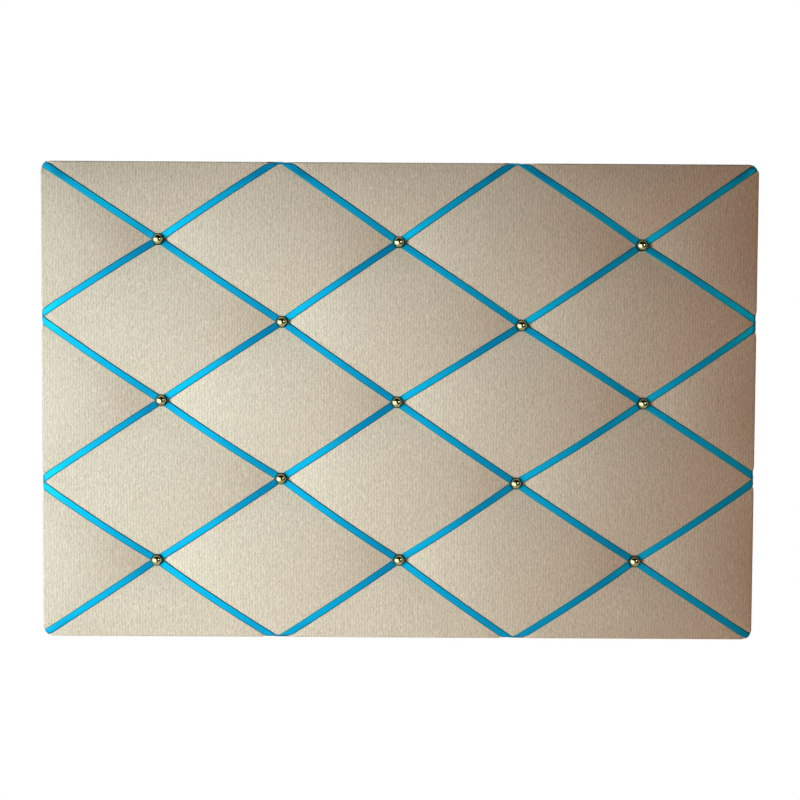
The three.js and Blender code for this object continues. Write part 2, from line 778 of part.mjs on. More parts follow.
// At rest the ring stands up and leans back onto the panel
const ringLean = Math.asin((axisOut - ringWire / 2 - ringClearance) / ringReach);
for (const [side, x] of hangerSides) {
  const hanger = new THREE.Group();
  hanger.position.set(x, 0, hangerZ);
  board.add(hanger);
  hanger.add(add(`hanger_strap_${side}`, strap(), steel.clone()));
  const wire = new THREE.TubeGeometry(new RingLoop(), ringSteps, ringWire / 2, wireSides, true);
  const ring = add(`hanger_ring_${side}`, wire, steel.clone());
  ring.position.y = axisOut;
  ring.rotation.x = ringLean;
  hanger.add(ring);
  const fastener = add(`hanger_screw_${side}`, screw(), steel.clone());
  fastener.position.z = -strapReach;
  hanger.add(fastener);
}

// Core board, with its nail, staple and screw holes
const coreInset = edgeRadius + waddingLift;
const coreOutline = roundedRectangle(halfX + coreInset, halfZ + coreInset, coreInset);
const coreBoard = cut(plate(coreOutline, coreBack, coreFront), nailHoles, legHoles, screwHoles);
add("core_board", coreBoard, material("#a98a62", 0.85));

// Backing panel. Its face is laid out in three fields, so that the middle one is clear of the hangers.
const [panelX, panelZ] = [boardWidth / 2 - backingInset, boardHeight / 2 - backingInset];
const fieldX = hangerX - ringWidth;
const middleField = new THREE.Shape()
  .moveTo(-fieldX, -panelZ)
  .lineTo(fieldX, -panelZ)
  .lineTo(fieldX, panelZ)
  .lineTo(-fieldX, panelZ);
const middlePanel = solid(plate(middleField, 0, backingThickness));
const wholePanel = solid(plate(roundedRectangle(panelX, panelZ, backingCorner), 0, backingThickness));
const panel = wholePanel.subtract(middlePanel).subtract(screwHoles).add(middlePanel);
add("backing_panel", geometryOf(panel), material("#6d4c33", 0.7));

export default board;
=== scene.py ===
# %% [markdown]
# # A padded ribbon memo board
# The board is a sheet of fibreboard under soft wadding and a stretched cotton cover. Satin ribbons
# cross the front in a lattice of diamonds, and a domed brass nail pulls each crossing down into
# the padding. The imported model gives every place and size, in metres: X to the right, Z up, and
# the padded front faces -Y. Here the soft pieces get their real forms, and everything gets its
# finish.

import json
import math

import bmesh
import bpy
from mathutils import Matrix, Vector
from mathutils.bvhtree import BVHTree


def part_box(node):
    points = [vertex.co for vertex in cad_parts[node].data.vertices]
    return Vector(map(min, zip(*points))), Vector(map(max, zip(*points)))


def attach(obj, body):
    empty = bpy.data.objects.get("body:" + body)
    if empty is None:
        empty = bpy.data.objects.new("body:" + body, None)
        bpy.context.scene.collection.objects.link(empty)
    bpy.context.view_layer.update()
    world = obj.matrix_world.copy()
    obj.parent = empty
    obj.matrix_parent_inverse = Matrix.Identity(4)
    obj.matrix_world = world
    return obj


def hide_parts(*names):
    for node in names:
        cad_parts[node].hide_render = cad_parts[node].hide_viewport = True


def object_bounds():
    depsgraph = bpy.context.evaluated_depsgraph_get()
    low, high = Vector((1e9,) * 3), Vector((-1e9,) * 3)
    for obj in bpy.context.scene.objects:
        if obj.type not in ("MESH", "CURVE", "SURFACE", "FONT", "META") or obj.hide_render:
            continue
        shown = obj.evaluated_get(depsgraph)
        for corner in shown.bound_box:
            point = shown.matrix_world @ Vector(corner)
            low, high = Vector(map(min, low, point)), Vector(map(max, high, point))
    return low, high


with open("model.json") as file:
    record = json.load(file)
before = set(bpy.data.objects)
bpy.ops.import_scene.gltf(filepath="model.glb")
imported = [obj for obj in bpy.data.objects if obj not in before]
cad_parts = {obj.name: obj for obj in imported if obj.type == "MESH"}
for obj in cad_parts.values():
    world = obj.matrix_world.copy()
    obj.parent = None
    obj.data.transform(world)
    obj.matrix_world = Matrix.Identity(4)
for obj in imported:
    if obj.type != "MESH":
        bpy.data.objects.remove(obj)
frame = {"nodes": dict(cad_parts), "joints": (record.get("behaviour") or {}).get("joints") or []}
cad_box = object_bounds()
nodes = frame["nodes"]
MM = 0.001
print("nodes", len(nodes), "box", [[round(value, 4) for value in corner] for corner in cad_box])

# %% [markdown]
# ## Camera
# The board is seen almost square on, from a little above its middle, and turned a third of a
# degree. The distance, the lens and the turn come from the four corners of the outline. The camera
# is moved out along its own axis after it is turned, so it always looks at the target.

# %% Camera
CAMERA_DISTANCE = 1.3
CAMERA_LENS = 69.15
CAMERA_ELEVATION = math.radians(2.8)
CAMERA_ROLL = math.radians(0.33)
CAMERA_TARGET = Vector((1.2, -12, 1.2)) * MM

camera_data = bpy.data.cameras.new("camera")
camera_data.lens = CAMERA_LENS
camera = bpy.data.objects.new("camera", camera_data)
bpy.context.scene.collection.objects.link(camera)
camera.matrix_world = (
    Matrix.Translation(CAMERA_TARGET)
    @ Matrix.Rotation(math.pi / 2 - CAMERA_ELEVATION, 4, "X")
    @ Matrix.Rotation(CAMERA_ROLL, 4, "Z")
    @ Matrix.Translation((0, 0, CAMERA_DISTANCE))
)
bpy.context.scene.camera = camera
print("camera at", [round(value, 3) for value in camera.matrix_world.translation])

# %% [markdown]
# ## Colours and nodes
# Colours are written as sRGB hex values, which is how they are read off a screen. Shaders count in
# linear light, so one function turns the first into the second. Another small function adds a
# node, sets it and links it, which keeps each material short.


# %% Colour and node helpers
def linear(hex_colour):
    parts = [int(hex_colour[i : i + 2], 16) / 255 for i in (1, 3, 5)]
    return (*[c / 12.92 if c <= 0.04045 else ((c + 0.055) / 1.055) ** 2.4 for c in parts], 1.0)


def add_node(tree, kind, inputs=None, **settings):
    made = tree.nodes.new(kind)
    for name, value in settings.items():
        setattr(made, name, value)
    for key, value in (inputs or {}).items():
        if isinstance(value, bpy.types.NodeSocket):
            tree.links.new(value, made.inputs[key])
        else:
            made.inputs[key].default_value = value
    return made


def new_material(name, **constants):
    material = bpy.data.materials.new(name)
    material.use_nodes = True
    shader = material.node_tree.nodes["Principled BSDF"]
    for key, value in constants.items():
        shader.inputs[key.replace("_", " ")].default_value = value
    return material, material.node_tree, shader


print("cream is", [round(value, 3) for value in linear("#d3c9b6")])

# %% [markdown]
# ## Light
# A cool window stands to the left and a little low, so that every slope of the padding shows. Its
# beam is narrow, so the light fades towards the right. A warm lamp in front fills the shadows, and
# a plain panel lights the back. The world is white where it is seen, but gives only a dim fill. A
# small lamp mirrored in satin or brass would be a hard spot, so reflections don't see the two
# front lamps.


# %% World
def seen_directly(tree):
    """1 for what is seen, also mirrored or through glass, and 0 for what only gives light."""
    rays = add_node(tree, "ShaderNodeLightPath").outputs
    seen = add_node(tree, "ShaderNodeMath", {0: rays["Is Camera Ray"], 1: rays["Is Glossy Ray"]})
    seen = add_node(
        tree,
        "ShaderNodeMath",
        {0: seen.outputs[0], 1: rays["Is Transmission Ray"]},
        use_clamp=True,
    )
    return seen.outputs[0]


WHITE = (1, 1, 1, 1)
FILL = 0.01
world = bpy.data.worlds.new("white_room")
bpy.context.scene.world = world
world.use_nodes = True
sky = world.node_tree
strength = add_node(
    sky,
    "ShaderNodeMapRange",
    {"Value": seen_directly(sky), "To Min": FILL, "To Max": 1.0},
)
background = sky.nodes["Background"]
background.inputs["Color"].default_value = WHITE
sky.links.new(strength.outputs[0], background.inputs["Strength"])
bpy.context.scene.view_settings.view_transform = "Standard"
print(world.name, "fill", FILL)


# %% Lamps
def area_lamp(name, place, target, size, watts, colour, spread=180):
    data = bpy.data.lights.new(name, "AREA")
    data.shape = "RECTANGLE"
    data.size, data.size_y = size
    data.energy = watts
    data.color = linear(colour)[:3]
    data.spread = math.radians(spread)
    lamp = bpy.data.objects.new(name, data)
    lamp.location = place
    lamp.rotation_euler = (Vector(target) - Vector(place)).to_track_quat("-Z", "Y").to_euler()
    bpy.context.scene.collection.objects.link(lamp)
    return lamp


window = area_lamp(
    "window",
    place=(-1.1, -0.95, -0.25),
    target=(-0.21, 0, -0.2),
    size=(0.6, 0.9),
    watts=2.78,
    colour="#dcf0ff",
    spread=25,
)
warm_lamp = area_lamp(
    "warm_lamp",
    place=(0.5, -2.0, -0.7),
    target=(0, 0, 0),
    size=(0.4, 0.4),
    watts=10.2,
    colour="#ff9800",
)
back_panel = area_lamp(
    "back_panel",
    place=(0.9, 1.4, 0.8),
    target=(0, 0, 0),
    size=(1.2, 1.2),
    watts=12,
    colour="#ffffff",
)
window.visible_glossy = warm_lamp.visible_glossy = False
print([(lamp.name, lamp.data.energy) for lamp in (window, warm_lamp, back_panel)])

# %% [markdown]
# ## Floor and cards
# The pale floor glows a little where it is seen, so that it stays pale in the dim light and still
# takes a shadow. What brass and satin look like depends on what they mirror, so large cards stand
# round the front. A bright one low on the left stands for the window, and a small one on the right
# gives each stud its second glint. The rest are dark: metal with nothing dark to mirror looks like
# chalk. Only reflections see the cards, so they light nothing and cast no shadow.


# %% Floor
def flat_card(name, width, height, place, facing, material):
    mesh = bpy.data.meshes.new(name)
    bm = bmesh.new()
    turn = Vector(facing).to_track_quat("Z", "Y").to_matrix().to_4x4()
    matrix = Matrix.Translation(place) @ turn @ Matrix.Diagonal((width, height, 1, 1))
    bmesh.ops.create_grid(bm, x_segments=1, y_segments=1, size=0.5, matrix=matrix)
    bm.to_mesh(mesh)
    bm.free()
    mesh.materials.append(material)
    card = bpy.data.objects.new(name, mesh)
    bpy.context.scene.collection.objects.link(card)
    return card


FLOOR_DROP = 0.55
FLOOR_GLOW = 0.5

# Matt paint: it shows the board's shadow and no reflection.
pale_floor, tree, shader = new_material(
    "pale_floor",
    Base_Color=linear("#e9e7e3"),
    Emission_Color=linear("#f4f2ee"),
    Roughness=0.9,
)
glow = add_node(
    tree,
    "ShaderNodeMath",
    {0: seen_directly(tree), 1: FLOOR_GLOW},
    operation="MULTIPLY",
)
tree.links.new(glow.outputs[0], shader.inputs["Emission Strength"])
floor_height = cad_box[0].z - FLOOR_DROP
floor = flat_card("floor", 3, 1.6, (0, 0, floor_height), (0, 0, 1), pale_floor)
print(floor.name, "at", round(floor_height, 3))

# %% Cards
WINDOW_GLOW, GLINT_GLOW = 3.0, 8.0

# Black paper, and two lit screens: all that the eye gets of them is in the brass and the satin.
black_card, _, _ = new_material("black_card", Base_Color=linear("#161513"), Roughness=0.95)
bright_card, _, _ = new_material(
    "bright_card", Emission_Color=WHITE, Emission_Strength=WINDOW_GLOW
)
glint_light, _, _ = new_material("glint_light", Emission_Color=WHITE, Emission_Strength=GLINT_GLOW)

cards = [
    flat_card("card_front", 3.2, 2.6, (0.9, -2.6, 0.7), (0, 1, 0), black_card),
    flat_card("card_right", 2.6, 2.6, (1.9, -1.2, 0.5), (-1, 0, 0), black_card),
    flat_card("card_above", 3.2, 2.4, (0.4, -1.3, 1.5), (0, 0, -1), black_card),
    flat_card("card_left", 2.6, 1.6, (-1.3, -1.3, 1.5), (1, 1, 0), black_card),
    flat_card("card_low", 2.4, 1.2, (1.3, -1.6, -1.1), (-1, 1, 1), black_card),
    flat_card("mirror_card", 2.6, 2.4, (-1.3, -1.3, -0.5), (1, 1, 0), bright_card),
    flat_card("glint_card", 0.42, 0.3, (1.0, -1.07, 0.3), (-0.66, 0.71, -0.2), glint_light),
]
for card in cards:
    card.visible_camera = card.visible_diffuse = card.visible_shadow = False
print([card.name for card in cards])

# %% [markdown]
# ## Finish: ribbed cotton
# The cover is a natural cotton with a linen look. Thicker warp threads give it upright ribs, 2.5
# mm apart, that waver and come and go. Single threads of a third of a millimetre are too fine for
# this view, so their grain is drawn 1 mm wide. A picture of cloth could be laid on, but bands and
# noise keep their size everywhere: wave bands make the ribs, and noise that is stretched along
# them makes the slubs, which are the thick places in a thread.

# %% Ribbed cotton: threads
# One band of the wave texture is a tenth of pi long at a scale of 1.
WAVE_BAND = 0.31416
RIB_PITCH, RIB_WAVER = 2.5 * MM, 5.0
SLUB_WIDTH, SLUB_LENGTH = 1.2 * MM, 4 * MM
GRAIN = 1.0 * MM
SLUB_SHARE, GRAIN_SHARE = 0.7, 0.45

# Cotton is matt: the eye gets the form of the padding from light and shade, with hardly any shine.
cotton, tree, shader = new_material("ribbed_cotton", Roughness=0.92, Specular_IOR_Level=0.2)
place = add_node(tree, "ShaderNodeTexCoord").outputs["Object"]
ribs = add_node(
    tree,
    "ShaderNodeTexWave",
    {
        "Vector": place,
        "Scale": WAVE_BAND / RIB_PITCH,
        "Distortion": RIB_WAVER,
        "Detail": 1.0,
        "Detail Scale": 3.0,
    },
    bands_direction="X",
)
stretched = add_node(
    tree,
    "ShaderNodeMapping",
    {"Vector": place, "Scale": (1 / SLUB_WIDTH, 1 / SLUB_WIDTH, 1 / SLUB_LENGTH)},
)
slubs = add_node(
    tree,
    "ShaderNodeTexNoise",
    {"Vector": stretched.outputs[0], "Scale": 1.0, "Detail": 2.0},
)
grain = add_node(tree, "ShaderNodeTexNoise", {"Vector": place, "Scale": 1 / GRAIN, "Detail": 1.0})
threads = add_node(
    tree,
    "ShaderNodeMix",
    {"Factor": SLUB_SHARE, "A": ribs.outputs["Fac"], "B": slubs.outputs["Fac"]},
)
threads = add_node(
    tree,
    "ShaderNodeMix",
    {"Factor": GRAIN_SHARE, "A": threads.outputs[0], "B": grain.outputs["Fac"]},
)
print(cotton.name, "ribs every", RIB_PITCH / MM, "mm")

# %% Ribbed cotton: colour and relief
DARK_THREAD, LIGHT_THREAD = 0.3, 0.7
THREAD_RELIEF = 0.3 * MM

tint = add_node(tree, "ShaderNodeValToRGB", {"Fac": threads.outputs[0]})
dark_end, light_end = tint.color_ramp.elements
dark_end.position, dark_end.color = DARK_THREAD, linear("#bbae92")
light_end.position, light_end.color = LIGHT_THREAD, linear("#e5dac0")
relief = add_node(
    tree,
    "ShaderNodeBump",
    {"Height": threads.outputs[0], "Strength": 0.3, "Distance": THREAD_RELIEF},
)
tree.links.new(tint.outputs["Color"], shader.inputs["Base Color"])
tree.links.new(relief.outputs[0], shader.inputs["Normal"])
print(cotton.name, len(tree.nodes), "nodes")

# %% [markdown]
# ## Finish: satin ribbon
# In satin, long threads called floats run along the ribbon and hide the threads that cross them.
# The floats of a real ribbon are about a tenth of a millimetre wide, too fine to show here, so
# nine lines are drawn across its width. The two edges are darker: partly the woven edges, and
# partly painted shade where the ribbon's edge meets the cloth. Object coordinates would run
# straight on through every bend, so the pattern lies on the strip's own UV map: U runs along the
# ribbon and V across it.

# %% Satin ribbon
FLOAT_LINES = 9
FLOAT_RELIEF = 0.1 * MM
MIDDLE = 0.5
# Where the darker edges start and end across the ribbon: woven edges, with painted shade along
# them.
EDGE_FROM, EDGE_TO = 0.33, 0.42

# Dyed polyester shines in the colour of its dye. The tinted sheen carries most of the ribbon's
# colour, so the IOR lies above the 1.6 of polyester to make that sheen strong enough.
satin, tree, shader = new_material(
    "polyester_satin",
    Roughness=0.46,
    IOR=2.1,
    Specular_IOR_Level=1.0,
    Specular_Tint=linear("#0ce4f2"),
)
uv = add_node(tree, "ShaderNodeUVMap", uv_map="ribbon").outputs[0]
across = add_node(tree, "ShaderNodeSeparateXYZ", {"Vector": uv}).outputs["Y"]
from_middle = add_node(tree, "ShaderNodeMath", {0: across, 1: MIDDLE}, operation="SUBTRACT")
from_middle = add_node(tree, "ShaderNodeMath", {0: from_middle.outputs[0]}, operation="ABSOLUTE")
# Darker towards both edges: partly the woven edges, partly painted shade where the ribbon meets
# the cloth.
edge_and_shade = add_node(
    tree,
    "ShaderNodeMapRange",
    {"Value": from_middle.outputs[0], "From Min": EDGE_FROM, "From Max": EDGE_TO},
    interpolation_type="SMOOTHSTEP",
)
floats = add_node(
    tree,
    "ShaderNodeTexWave",
    {"Vector": uv, "Scale": WAVE_BAND * FLOAT_LINES, "Distortion": 0.6, "Detail": 1.0},
    bands_direction="Y",
)
dye = add_node(
    tree,
    "ShaderNodeMix",
    {"Factor": edge_and_shade.outputs[0], "A": linear("#0a7ab0"), "B": linear("#022c46")},
    data_type="RGBA",
)
relief = add_node(
    tree,
    "ShaderNodeBump",
    {"Height": floats.outputs["Fac"], "Strength": 0.15, "Distance": FLOAT_RELIEF},
)
tree.links.new(dye.outputs["Result"], shader.inputs["Base Color"])
tree.links.new(relief.outputs[0], shader.inputs["Normal"])
print(satin.name, FLOAT_LINES, "float lines")

# %% [markdown]
# ## Finish: brass and zinc-plated steel
# The stud heads are pressed from brass and polished. Their rims are darkened as painted shade, for
# the shaded cloth and ribbon that a real rim mirrors. Dark rings could be painted at each stud's
# place, but it is simpler to let every point of a stud know how far it lies from the nail's axis.
# The hangers and the staples are steel under bright zinc. Both metals get uneven gloss from noise,
# because an even gloss looks like plastic.

# %% Brass
SMEAR = 3 * MM
POLISHED, SMEARED = 0.08, 0.2
# Share of the head's radius over which the rim is darkened, as painted shade.
RIM_SHADE_FROM, RIM_SHADE_TO = 0.72, 0.97

# Polished brass mirrors the bright card and the dark ones, in its own yellow. Its specular tint is
# the colour at grazing angles, which is dark here as painted shade on the rims.
brass, tree, shader = new_material(
    "polished_brass", Metallic=1.0, Specular_Tint=linear("#20261a")
)
place = add_node(tree, "ShaderNodeTexCoord").outputs["Object"]
smears = add_node(tree, "ShaderNodeTexNoise", {"Vector": place, "Scale": 1 / SMEAR, "Detail": 3.0})
gloss = add_node(
    tree,
    "ShaderNodeMapRange",
    {"Value": smears.outputs["Fac"], "To Min": POLISHED, "To Max": SMEARED},
)
from_axis = add_node(tree, "ShaderNodeAttribute", attribute_name="from_axis")
# The colour darkens towards the rim of the head: painted shade, for the shaded cloth and ribbon
# that a real rim mirrors.
painted_rim_shade = add_node(
    tree,
    "ShaderNodeMapRange",
    {"Value": from_axis.outputs["Fac"], "From Min": RIM_SHADE_FROM, "From Max": RIM_SHADE_TO},
    interpolation_type="SMOOTHSTEP",
)
tint = add_node(
    tree,
    "ShaderNodeMix",
    {"Factor": painted_rim_shade.outputs[0], "A": linear("#c4c08e"), "B": linear("#2e2f1c")},
    data_type="RGBA",
)
tree.links.new(gloss.outputs[0], shader.inputs["Roughness"])
tree.links.new(tint.outputs["Result"], shader.inputs["Base Color"])
print(brass.name, "smears of", SMEAR / MM, "mm")

# %% Zinc-plated steel
SPANGLE = 1.5 * MM
CLEAR, CLOUDY = 0.25, 0.45

# Zinc plating is a pale, slightly cloudy mirror: the eye sees soft highlights and no clear
# picture.
zinc, tree, shader = new_material("zinc_plated_steel", Metallic=1.0)
place = add_node(tree, "ShaderNodeTexCoord").outputs["Object"]
clouds = add_node(
    tree, "ShaderNodeTexNoise", {"Vector": place, "Scale": 1 / SPANGLE, "Detail": 4.0}
)
gloss = add_node(
    tree,
    "ShaderNodeMapRange",
    {"Value": clouds.outputs["Fac"], "To Min": CLEAR, "To Max": CLOUDY},
)
tint = add_node(
    tree,
    "ShaderNodeMix",
    {"Factor": clouds.outputs["Fac"], "A": linear("#b4b8bc"), "B": linear("#d2d3d0")},
    data_type="RGBA",
)
tree.links.new(gloss.outputs[0], shader.inputs["Roughness"])
tree.links.new(tint.outputs["Result"], shader.inputs["Base Color"])
print(zinc.name, "clouds of", SPANGLE / MM, "mm")

# %% [markdown]
# ## Finish: boards and wadding
# Fibreboard, hardboard and wadding are all made of fibres, pressed hard, harder, or not at all.
# One function mixes a fine noise as wide as a clump of fibres with broad clouds twenty times as
# wide. Only the colours, the size of the clumps, the gloss and the depth of the relief differ.

# %% Fibrous boards and wadding
CLOUD_SCALE, CLOUD_SHARE = 0.05, 0.35
DARK_FIBRE, LIGHT_FIBRE = 0.35, 0.65


def fibrous(name, dark, light, clump, roughness, depth):
    material, tree, shader = new_material(name, Roughness=roughness)
    place = add_node(tree, "ShaderNodeTexCoord").outputs["Object"]
    fine = add_node(
        tree,
        "ShaderNodeTexNoise",
        {"Vector": place, "Scale": 1 / clump, "Detail": 6.0},
    )
    broad = add_node(
        tree,
        "ShaderNodeTexNoise",
        {"Vector": place, "Scale": CLOUD_SCALE / clump, "Detail": 2.0},
    )
    both = add_node(
        tree,
        "ShaderNodeMix",
        {"Factor": CLOUD_SHARE, "A": fine.outputs["Fac"], "B": broad.outputs["Fac"]},
    )
    tint = add_node(tree, "ShaderNodeValToRGB", {"Fac": both.outputs[0]})
    dark_end, light_end = tint.color_ramp.elements
    dark_end.position, dark_end.color = DARK_FIBRE, linear(dark)
    light_end.position, light_end.color = LIGHT_FIBRE, linear(light)
    relief = add_node(
        tree,
        "ShaderNodeBump",
        {"Height": fine.outputs["Fac"], "Strength": 0.3, "Distance": depth},
    )
    tree.links.new(tint.outputs["Color"], shader.inputs["Base Color"])
    tree.links.new(relief.outputs[0], shader.inputs["Normal"])
    return material


# Sanded fibreboard is a dull, even brown. Hardboard is dark and has a slight polish from its
# press. Wadding is a soft white that never shines.
fibreboard = fibrous("sanded_fibreboard", "#9a7a52", "#bf9f74", 1.2 * MM, 0.85, 0.1 * MM)
hardboard = fibrous("pressed_hardboard", "#5b3d28", "#7f5a3c", 2.0 * MM, 0.5, 0.08 * MM)
wadding_fibre = fibrous("bonded_wadding", "#e6e3dc", "#fbfaf6", 3.0 * MM, 1.0, 0.8 * MM)
print(fibreboard.name, hardboard.name, wadding_fibre.name)

# %% [markdown]
# ## Where things are
# The studs' places come from the frame, and so do the outline and the depths, so nothing has to be
# fitted later. The ribbons run along two sets of lines, p and q. Whole numbers of both meet at a
# crossing: at a stud inside the board, and just over the edge elsewhere. Depth is counted forward
# from the wall. A run is how far the cloth has gone over the edge: round the front edge, down the
# side, round the back edge and along the flap.

# %% Outline, depths and studs
EDGE_RADIUS = 2 * MM
CORNER_RADIUS = 4 * MM
BACK_RADIUS = 1.2 * MM
RIM_HEIGHT = 7 * MM
FLAP_WIDTH = 20 * MM
COLUMNS, ROWS = 3, 3

cover_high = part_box("fabric_cover")[1]
board_width, board_height = 2 * cover_high.x, 2 * cover_high.z
core_front = -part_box("core_board")[0].y
flap_depth = -cover_high.y
half_x = board_width / 2 - EDGE_RADIUS
half_z = board_height / 2 - EDGE_RADIUS
rim_depth = core_front + RIM_HEIGHT
roll_length = EDGE_RADIUS * math.pi / 2
side_length = rim_depth - EDGE_RADIUS - flap_depth - BACK_RADIUS
turn_length = BACK_RADIUS * math.pi / 2
flap_start = roll_length + side_length + turn_length
flap_length = FLAP_WIDTH - BACK_RADIUS
cell_x, cell_z = board_width / COLUMNS, board_height / ROWS

studs = {}
for name in sorted(nodes):
    if name.startswith("stud_"):
        low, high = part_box(name)
        middle = (low + high) / 2
        u = (middle.x + board_width / 2) / cell_x
        v = (middle.z + board_height / 2) / cell_z
        studs[name] = (round(u + v), round(v - u), middle.x, middle.z)
stud_at = {(p, q): Vector((x, z)) for p, q, x, z in studs.values()}
print("board", round(board_width, 4), round(board_height, 4), "studs", len(stud_at))

# %% Points of the lattice
RIBBON_WIDTH = 6 * MM
V_OVER = 1 * MM
# How many millimetres each pair of ribbons meets off the grid: rightwards along the top and the
# bottom, upwards along the sides.
EDGE_SLIP = {"top": (0, -2), "right": (0.5, 3), "bottom": (-1, -2), "left": (3.5, -2.5)}

ribbon_slope = math.atan2(cell_z, cell_x)
span_x = RIBBON_WIDTH / 2 / math.sin(ribbon_slope)
span_z = RIBBON_WIDTH / 2 / math.cos(ribbon_slope)


def is_corner(u, v):
    return u in (0, COLUMNS) and v in (0, ROWS)


def edge_slip(u, v):
    """How far a pair of ribbons meets off the grid at the edge, to the right and up."""
    if 0 < u < COLUMNS and v in (0, ROWS):
        return Vector((EDGE_SLIP["top" if v else "bottom"][int(u) - 1], 0)) * MM
    if 0 < v < ROWS and u in (0, COLUMNS):
        return Vector((0, EDGE_SLIP["right" if u else "left"][ROWS - 1 - int(v)])) * MM
    return Vector((0, 0))


def crossing(p, q):
    """The place of a crossing on the flat cloth."""
    if (p, q) in stud_at:
        return stud_at[p, q]
    u, v = (p - q) / 2, (p + q) / 2
    side_x = (u > COLUMNS / 2) - (u < COLUMNS / 2)
    side_z = (v > ROWS / 2) - (v < ROWS / 2)
    if is_corner(u, v):
        stud = stud_at[p - (side_x + side_z) // 2, q - (side_z - side_x) // 2]
        corner = Vector((side_x * half_x, side_z * half_z))
        return corner + (corner - stud).normalized() * (roll_length + RIBBON_WIDTH)
    x = u * cell_x - board_width / 2
    z = v * cell_z - board_height / 2
    if u <= 0 or u >= COLUMNS:
        x += side_x * (span_x - EDGE_RADIUS)
    if v <= 0 or v >= ROWS:
        z += side_z * (span_z - EDGE_RADIUS + V_OVER)
    return Vector((x, z)) + edge_slip(u, v)


def lattice_point(p, q):
    """Any point between four crossings."""
    i, j = min(math.floor(p), COLUMNS + ROWS - 1), min(math.floor(q), ROWS - 1)
    near = crossing(i, j).lerp(crossing(i + 1, j), p - i)
    far = crossing(i, j + 1).lerp(crossing(i + 1, j + 1), p - i)
    return near.lerp(far, q - j)


print("middle stud", [round(value, 4) for value in lattice_point(3, 0)])

# %% Lines of the ribbons
ribbon_lines = {}
for p in range(1, COLUMNS + ROWS):
    first, last = max(-p, p - 2 * COLUMNS), min(p, 2 * ROWS - p)
    ribbon_lines[f"ribbon_falling_{p}"] = [(p, q) for q in range(first, last + 1)]
for q in range(1 - COLUMNS, ROWS):
    first, last = abs(q), min(2 * COLUMNS + q, 2 * ROWS - q)
    ribbon_lines[f"ribbon_rising_{q + COLUMNS}"] = [(p, q) for p in range(first, last + 1)]
print("ribbons", {name: len(crossings) for name, crossings in ribbon_lines.items()})

# %% [markdown]
# ## The form of the padding
# Cloth over wadding swells between the ribbons and dips to each stud. The height could be
# sculpted, but a formula keeps all the diamonds alike. Each ribbon's line arches from stud to
# stud, the cloth rises from both lines to a crown in the middle of the diamond, and everything
# comes down to the rim.

# %% Heights of the padding
STEPS = 36
FLAT_STRIP = 1 / STEPS
STUD_SEAT = 4.2 * MM
STUD_FLAT = 6 * MM
RIBBON_PEAK = 10.3 * MM
CROWN = 13.4 * MM
ARCH_RISE = 1.5
OPEN_RISE = 0.62
PUFF_FALL = 2.2
EDGE_FADE = 60 * MM
EDGE_SLOPE = 1.5
ribbon_step = math.hypot(cell_x, cell_z) / 2


def smooth(value, first, last):
    share = min(max((value - first) / (last - first), 0), 1)
    return share * share * (3 - 2 * share)


def arch(share, low_end, high_end):
    """Height of a ribbon's line between two crossings, which dips where the end has a stud."""
    if low_end and high_end:
        from_stud = min(share, 1 - share) * ribbon_step
        reach = ribbon_step / 2
    elif low_end or high_end:
        from_stud = (share if low_end else 1 - share) * ribbon_step
        reach = ribbon_step * OPEN_RISE
    else:
        return RIBBON_PEAK
    rise = min(max(from_stud - STUD_FLAT, 0) / (reach - STUD_FLAT), 1)
    return STUD_SEAT + (RIBBON_PEAK - STUD_SEAT) * (1 - (1 - rise) ** ARCH_RISE)


def line_height(p, q, along_q):
    fixed, moving = (round(p), q) if along_q else (round(q), p)
    start = math.floor(moving)
    ends = [(fixed, start), (fixed, start + 1)]
    if not along_q:
        ends = [(start, fixed), (start + 1, fixed)]
    return arch(moving - start, ends[0] in stud_at, ends[1] in stud_at)


def padding_height(p, q, x, z):
    drops = []
    for value, along_q in ((p, True), (q, False)):
        away = max(abs(value - round(value)) - FLAT_STRIP, 0) / (0.5 - FLAT_STRIP)
        drops.append((CROWN - line_height(p, q, along_q)) * (1 - away) ** PUFF_FALL)
    height = CROWN - (drops[0] ** 3 + drops[1] ** 3) ** (1 / 3)
    inset = min(half_x - abs(x), half_z - abs(z))
    share = min(max(inset / EDGE_FADE, 0), 1)
    return RIM_HEIGHT + (height - RIM_HEIGHT) * (1 - (1 - share) ** EDGE_SLOPE)


print("crown", CROWN / MM, "mm above the core")

# %% [markdown]
# ## Pressed edges
# The ribbons are pulled tight before they are stapled, so they press into the soft edge and their
# ends lie inside the outline. A simulation of cloth that presses on cloth is slow and restless, so
# a formula makes the dent. It is deepest under the ribbon and fades out to both sides, down the
# board's side, and towards the field.

# %% Where ribbons press the edge in
PRESS = 1.6 * MM
PRESS_SIDE = 5 * MM
PRESS_INSET = 14 * MM

last_legs = [legs for line in ribbon_lines.values() for legs in (line[1::-1], line[-2:])]
ribbon_ends = [
    (crossing(*inner), (crossing(*outer) - crossing(*inner)).normalized())
    for inner, outer in last_legs
]


def pressed(flat, run):
    """How far the cloth is pressed in at a flat place, after a run over the edge."""
    fade = 1 - smooth(run, roll_length, roll_length + PRESS_SIDE)
    if run <= 0:
        fade = 1 - smooth(-run, 0, PRESS_INSET)
    if fade == 0:
        return 0
    nearest = min(
        abs((flat - start).cross(way))
        for start, way in ribbon_ends
        if (flat - start).dot(way) > 0
    )
    return PRESS * fade * (1 - smooth(nearest, RIBBON_WIDTH / 2, RIBBON_WIDTH))


print("ribbon ends", len(ribbon_ends))

# %% [markdown]
# ## The cover
# The mesh is a grid turned to lie along the ribbons, so that every valley follows a line of edges.
# The outline is cut with planes, round the four sides and the four rounded corners, and the rim is
# extruded round the edge and onto the back. A short cloth simulation with air pressure then fills
# the diamonds, while the cloth under ribbons, under studs and at the edge is held. The simulation
# alone would blow up one big cushion, and the formula alone would look too regular.

# %% Cover: the field
SNAP = 0.2 * MM
CORNER_CUTS = 6

